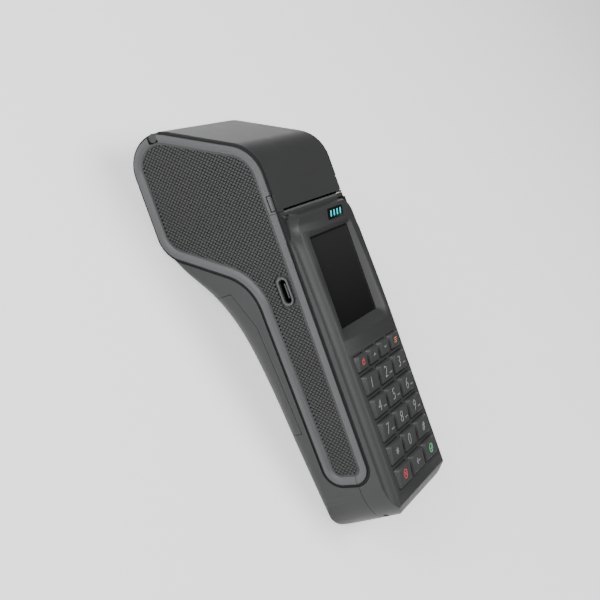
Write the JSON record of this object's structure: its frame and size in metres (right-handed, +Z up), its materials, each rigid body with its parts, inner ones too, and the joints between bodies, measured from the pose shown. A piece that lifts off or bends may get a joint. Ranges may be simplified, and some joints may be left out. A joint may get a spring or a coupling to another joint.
{
  "type": "card payment terminal",
  "caption": "Handheld card payment terminal with receipt printer in a raised head, a colour screen, a wedge-key keypad, mesh side panels and a side charging socket.",
  "frame": {"origin": "centre of the bounding box, on the plane the rubber feet rest on", "axes": "+Z up, -Y towards the keypad end and +Y towards the printer head, +X to the right seen from the keypad end with the face up"},
  "size_m": [0.0736, 0.2046, 0.0653],
  "materials": {
    "shell": "fine matte texture",
    "panel": "fine diamond mesh relief",
    "key": "satin",
    "rubber": "matt",
    "glass": "gloss black",
    "lamp": "glowing",
    "board": "satin",
    "steel": "brushed",
    "gear": "satin",
    "paper": "matt",
    "cell": "satin"
  },
  "bodies": {
    "case": {"front_housing": "shell", "rear_housing": "shell", "battery_door": "shell", "socket_collar": "shell", "side_panel_left": "panel", "side_panel_right": "panel", "keypad_mat": "rubber", "socket_tongue": "rubber", "speaker": "rubber", "foot_head_left": "rubber", "foot_head_right": "rubber", "foot_tail_left": "rubber", "foot_tail_right": "rubber", "screen_lens": "glass", "light_window": "glass", "light_bar_1": "lamp", "light_bar_2": "lamp", "light_bar_3": "lamp", "light_bar_4": "lamp", "main_board": "board", "lcd_module": "board", "contactless_antenna": "board", "socket_shell": "steel", "card_reader": "steel", "hinge_pin": "steel", "door_screw_left": "steel", "door_screw_right": "steel", "stepper_motor": "steel", "print_head_spring": "steel", "tear_bar": "steel", "print_head": "gear", "battery_pack": "cell"},
    "key_1": {"key_1": "key"},
    "key_2": {"key_2": "key"},
    "key_3": {"key_3": "key"},
    "key_4": {"key_4": "key"},
    "key_5": {"key_5": "key"},
    "key_6": {"key_6": "key"},
    "key_7": {"key_7": "key"},
    "key_8": {"key_8": "key"},
    "key_9": {"key_9": "key"},
    "key_star": {"key_star": "key"},
    "key_0": {"key_0": "key"},
    "key_hash": {"key_hash": "key"},
    "key_cancel": {"key_cancel": "key"},
    "key_clear": {"key_clear": "key"},
    "key_enter": {"key_enter": "key"},
    "key_power": {"key_power": "key"},
    "key_up": {"key_up": "key"},
    "key_down": {"key_down": "key"},
    "key_menu": {"key_menu": "key"},
    "lid": {"paper_lid": "shell"},
    "latch_left_tab": {"latch_left": "key"},
    "latch_right_tab": {"latch_right": "key"},
    "platen": {"platen_roller": "rubber", "platen_gear": "gear"},
    "roll": {"paper_roll": "paper"},
    "idler": {"idler_gear": "gear"},
    "pinion": {"motor_pinion": "gear"}
  },
  "joints": [
    {"name": "lid_hinge", "type": "hinge", "parent": "case", "child": "lid", "pos_m": [0, 0.09972, 0.02624], "axis": [-1, 0, 0], "range_deg": [0, 85]},
    {"name": "latch_left_press", "type": "slide", "parent": "lid", "child": "latch_left_tab", "axis": [1, 0, 0], "range_m": [0, 0.0009], "stiffness_N_per_m": 500, "springref_m": -0.001},
    {"name": "latch_right_press", "type": "slide", "parent": "lid", "child": "latch_right_tab", "axis": [-1, 0, 0], "range_m": [0, 0.0009], "stiffness_N_per_m": 500, "springref_m": -0.001},
    {"name": "key_1_press", "type": "slide", "parent": "case", "child": "key_1", "axis": [0, 0.226, -0.9741], "range_m": [0, 0.001], "stiffness_N_per_m": 800, "springref_m": -0.001},
    {"name": "key_2_press", "type": "slide", "parent": "case", "child": "key_2", "axis": [0, 0.226, -0.9741], "range_m": [0, 0.001], "stiffness_N_per_m": 800, "springref_m": -0.001},
    {"name": "key_3_press", "type": "slide", "parent": "case", "child": "key_3", "axis": [0, 0.226, -0.9741], "range_m": [0, 0.001], "stiffness_N_per_m": 800, "springref_m": -0.001},
    {"name": "key_4_press", "type": "slide", "parent": "case", "child": "key_4", "axis": [0, 0.226, -0.9741], "range_m": [0, 0.001], "stiffness_N_per_m": 800, "springref_m": -0.001},
    {"name": "key_5_press", "type": "slide", "parent": "case", "child": "key_5", "axis": [0, 0.226, -0.9741], "range_m": [0, 0.001], "stiffness_N_per_m": 800, "springref_m": -0.001},
    {"name": "key_6_press", "type": "slide", "parent": "case", "child": "key_6", "axis": [0, 0.226, -0.9741], "range_m": [0, 0.001], "stiffness_N_per_m": 800, "springref_m": -0.001},
    {"name": "key_7_press", "type": "slide", "parent": "case", "child": "key_7", "axis": [0, 0.226, -0.9741], "range_m": [0, 0.001], "stiffness_N_per_m": 800, "springref_m": -0.001},
    {"name": "key_8_press", "type": "slide", "parent": "case", "child": "key_8", "axis": [0, 0.226, -0.9741], "range_m": [0, 0.001], "stiffness_N_per_m": 800, "springref_m": -0.001},
    {"name": "key_9_press", "type": "slide", "parent": "case", "child": "key_9", "axis": [0, 0.226, -0.9741], "range_m": [0, 0.001], "stiffness_N_per_m": 800, "springref_m": -0.001},
    {"name": "key_star_press", "type": "slide", "parent": "case", "child": "key_star", "axis": [0, 0.226, -0.9741], "range_m": [0, 0.001], "stiffness_N_per_m": 800, "springref_m": -0.001},
    {"name": "key_0_press", "type": "slide", "parent": "case", "child": "key_0", "axis": [0, 0.226, -0.9741], "range_m": [0, 0.001], "stiffness_N_per_m": 800, "springref_m": -0.001},
    {"name": "key_hash_press", "type": "slide", "parent": "case", "child": "key_hash", "axis": [0, 0.226, -0.9741], "range_m": [0, 0.001], "stiffness_N_per_m": 800, "springref_m": -0.001},
    {"name": "key_cancel_press", "type": "slide", "parent": "case", "child": "key_cancel", "axis": [0, 0.226, -0.9741], "range_m": [0, 0.001], "stiffness_N_per_m": 800, "springref_m": -0.001},
    {"name": "key_clear_press", "type": "slide", "parent": "case", "child": "key_clear", "axis": [0, 0.226, -0.9741], "range_m": [0, 0.001], "stiffness_N_per_m": 800, "springref_m": -0.001},
    {"name": "key_enter_press", "type": "slide", "parent": "case", "child": "key_enter", "axis": [0, 0.226, -0.9741], "range_m": [0, 0.001], "stiffness_N_per_m": 800, "springref_m": -0.001},
    {"name": "key_power_press", "type": "slide", "parent": "case", "child": "key_power", "axis": [0, 0.226, -0.9741], "range_m": [0, 0.001], "stiffness_N_per_m": 800, "springref_m": -0.001},
    {"name": "key_up_press", "type": "slide", "parent": "case", "child": "key_up", "axis": [0, 0.226, -0.9741], "range_m": [0, 0.001], "stiffness_N_per_m": 800, "springref_m": -0.001},
    {"name": "key_down_press", "type": "slide", "parent": "case", "child": "key_down", "axis": [0, 0.226, -0.9741], "range_m": [0, 0.001], "stiffness_N_per_m": 800, "springref_m": -0.001},
    {"name": "key_menu_press", "type": "slide", "parent": "case", "child": "key_menu", "axis": [0, 0.226, -0.9741], "range_m": [0, 0.001], "stiffness_N_per_m": 800, "springref_m": -0.001},
    {"name": "platen_spin", "type": "hinge", "parent": "lid", "child": "platen", "pos_m": [0, 0.0464, 0.05472], "axis": [1, 0, 0], "continuous": true},
    {"name": "idler_spin", "type": "hinge", "parent": "case", "child": "idler", "pos_m": [0, 0.04389, 0.04254], "axis": [1, 0, 0], "continuous": true},
    {"name": "pinion_spin", "type": "hinge", "parent": "case", "child": "pinion", "pos_m": [0, 0.0367, 0.03369], "axis": [1, 0, 0], "continuous": true},
    {"name": "roll_spin", "type": "hinge", "parent": "case", "child": "roll", "pos_m": [0, 0.07044, 0.02766], "axis": [1, 0, 0], "continuous": true}
  ],
  "couplings": [
    {"joint": "platen_spin", "follows": "idler_spin", "ratio": -1.7143},
    {"joint": "pinion_spin", "follows": "idler_spin", "ratio": -2.4}
  ]
}
